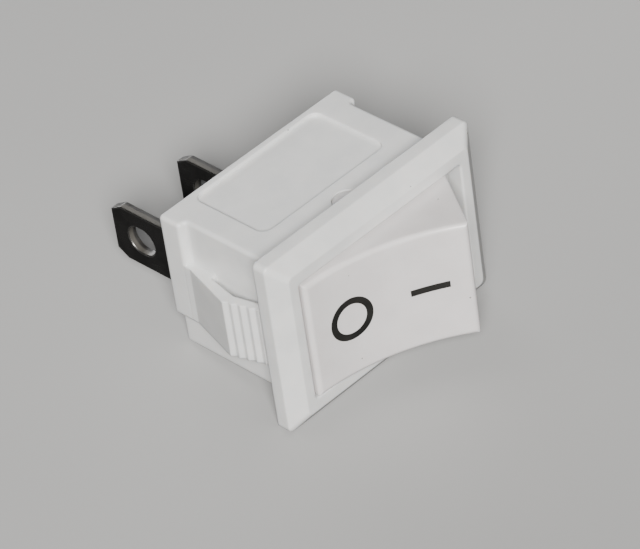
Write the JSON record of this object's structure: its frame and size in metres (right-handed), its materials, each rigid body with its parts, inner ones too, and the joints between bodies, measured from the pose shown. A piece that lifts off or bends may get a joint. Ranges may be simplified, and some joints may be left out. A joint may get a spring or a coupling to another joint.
{
  "type": "rocker switch",
  "caption": "Snap-in panel rocker switch, single pole on-off: white bevelled bezel, concave rocker, toothed latches on both ends and flat blade terminals at the back.",
  "frame": {"origin": "Middle of the bezel's back face, where it seats on the panel.", "axes": "+Y points back through the panel, X runs along the switch with the off side at -X, +Z is one long side. The rocker's face looks towards -Y."},
  "size_m": [0.021, 0.0258, 0.015],
  "materials": {
    "housing_plastic": "white moulded nylon, slightly glossy",
    "rocker_plastic": "white moulded nylon, slightly warmer, smooth",
    "plunger_plastic": "natural acetal, turned",
    "spring_steel": "drawn spring wire",
    "arm_copper": "stamped copper alloy",
    "contact_silver": "silver rivet",
    "terminal_plate": "stamped brass, dull bright plating"
  },
  "bodies": {
    "housing": {"housing": "housing_plastic", "common_terminal": "terminal_plate", "load_terminal": "terminal_plate", "fixed_contact": "contact_silver"},
    "rocker": {"rocker": "rocker_plastic", "plunger_spring": "spring_steel"},
    "plunger": {"plunger": "plunger_plastic"},
    "contact_arm": {"contact_arm": "arm_copper", "moving_contact": "contact_silver"}
  },
  "joints": [
    {"name": "rocker_pivot", "type": "hinge", "parent": "housing", "child": "rocker", "pos_m": [0, 0.00105, 0], "axis": [0, 0, 1], "range_deg": [0, 42]},
    {"name": "plunger_slide", "type": "slide", "parent": "rocker", "child": "plunger", "axis": [-0.3584, -0.9336, 0], "range_m": [0, 0.0008], "stiffness_N_per_m": 150, "springref_m": -0.003, "deforming": ["plunger_spring"]},
    {"name": "arm_rock", "type": "hinge", "parent": "housing", "child": "contact_arm", "pos_m": [0, 0.00705, 0], "axis": [0, 0, 1], "range_deg": [-9, 0]}
  ],
  "couplings": [
    {"joint": "arm_rock", "follows": "rocker_pivot", "ratio": -0.2142}
  ]
}
